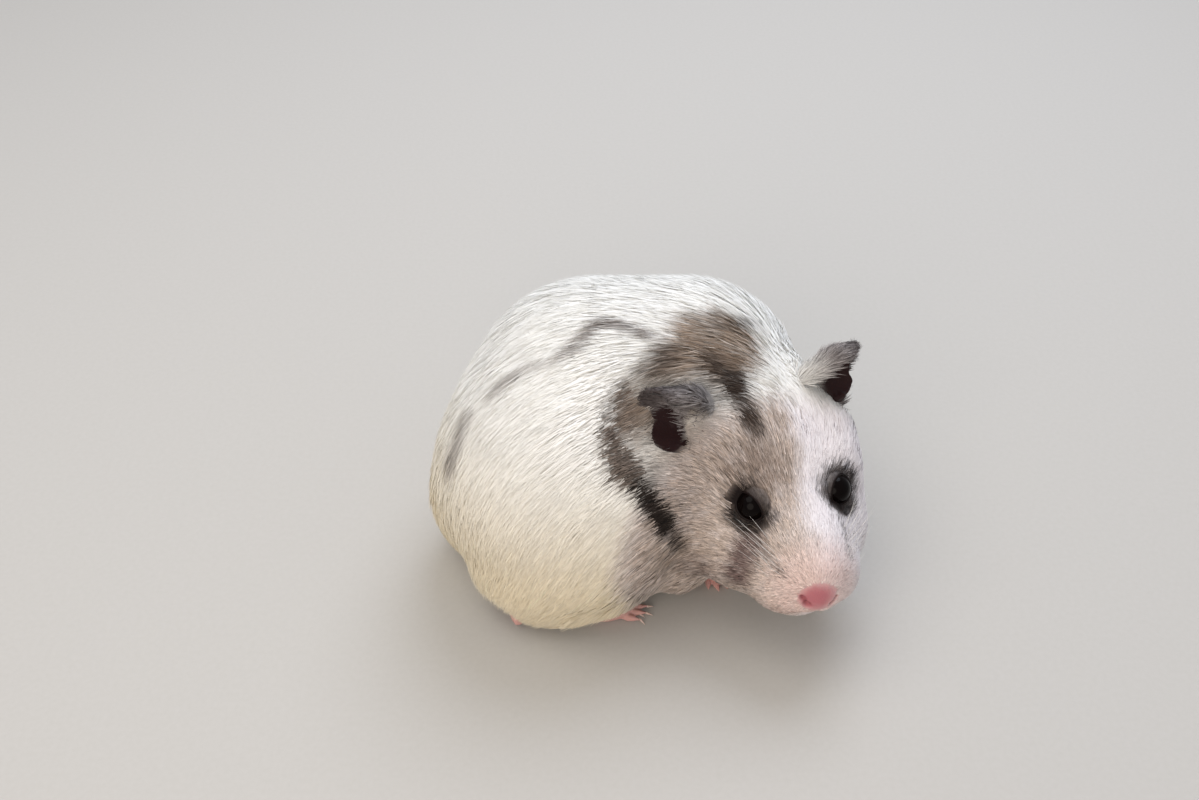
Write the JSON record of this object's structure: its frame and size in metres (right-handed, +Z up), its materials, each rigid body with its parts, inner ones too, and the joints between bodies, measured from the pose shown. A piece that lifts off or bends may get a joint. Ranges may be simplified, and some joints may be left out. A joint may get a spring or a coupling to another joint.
{
  "type": "syrian hamster",
  "caption": "Life-size Syrian hamster resting on its belly, curled to its right with its head turned the same way, dark ears raised and a pink nose close to the floor.",
  "frame": {"origin": "centre of the bounding box on the floor plane that the animal rests on", "axes": "+Z up; the body lies along X with the rump towards -X; the head faces -Y, turned about 16 degrees towards +X; the animal's left is towards +Y at its shoulders"},
  "size_m": [0.0883, 0.0705, 0.0606],
  "materials": {
    "white_coat": "matte, long soft cream-white fur",
    "grey_coat": "matte, short grey-brown ticked fur",
    "pink_skin": "soft bare pink skin",
    "ear_skin": "thin dark skin with a fine down",
    "eye": "wet gloss black"
  },
  "bodies": {
    "root": {"head": "grey_coat", "nose": "pink_skin", "eye_left": "eye", "eye_right": "eye", "ear_left": "ear_skin", "ear_right": "ear_skin", "neck": "grey_coat", "chest": "white_coat", "belly": "white_coat", "rump": "white_coat", "foreleg_left": "white_coat", "foreleg_right": "white_coat", "hindleg_left": "white_coat", "hindleg_right": "white_coat", "forepaw_left": "pink_skin", "forepaw_right": "pink_skin", "hindfoot_left": "pink_skin", "hindfoot_right": "pink_skin", "tail": "pink_skin"}
  },
  "joints": []
}
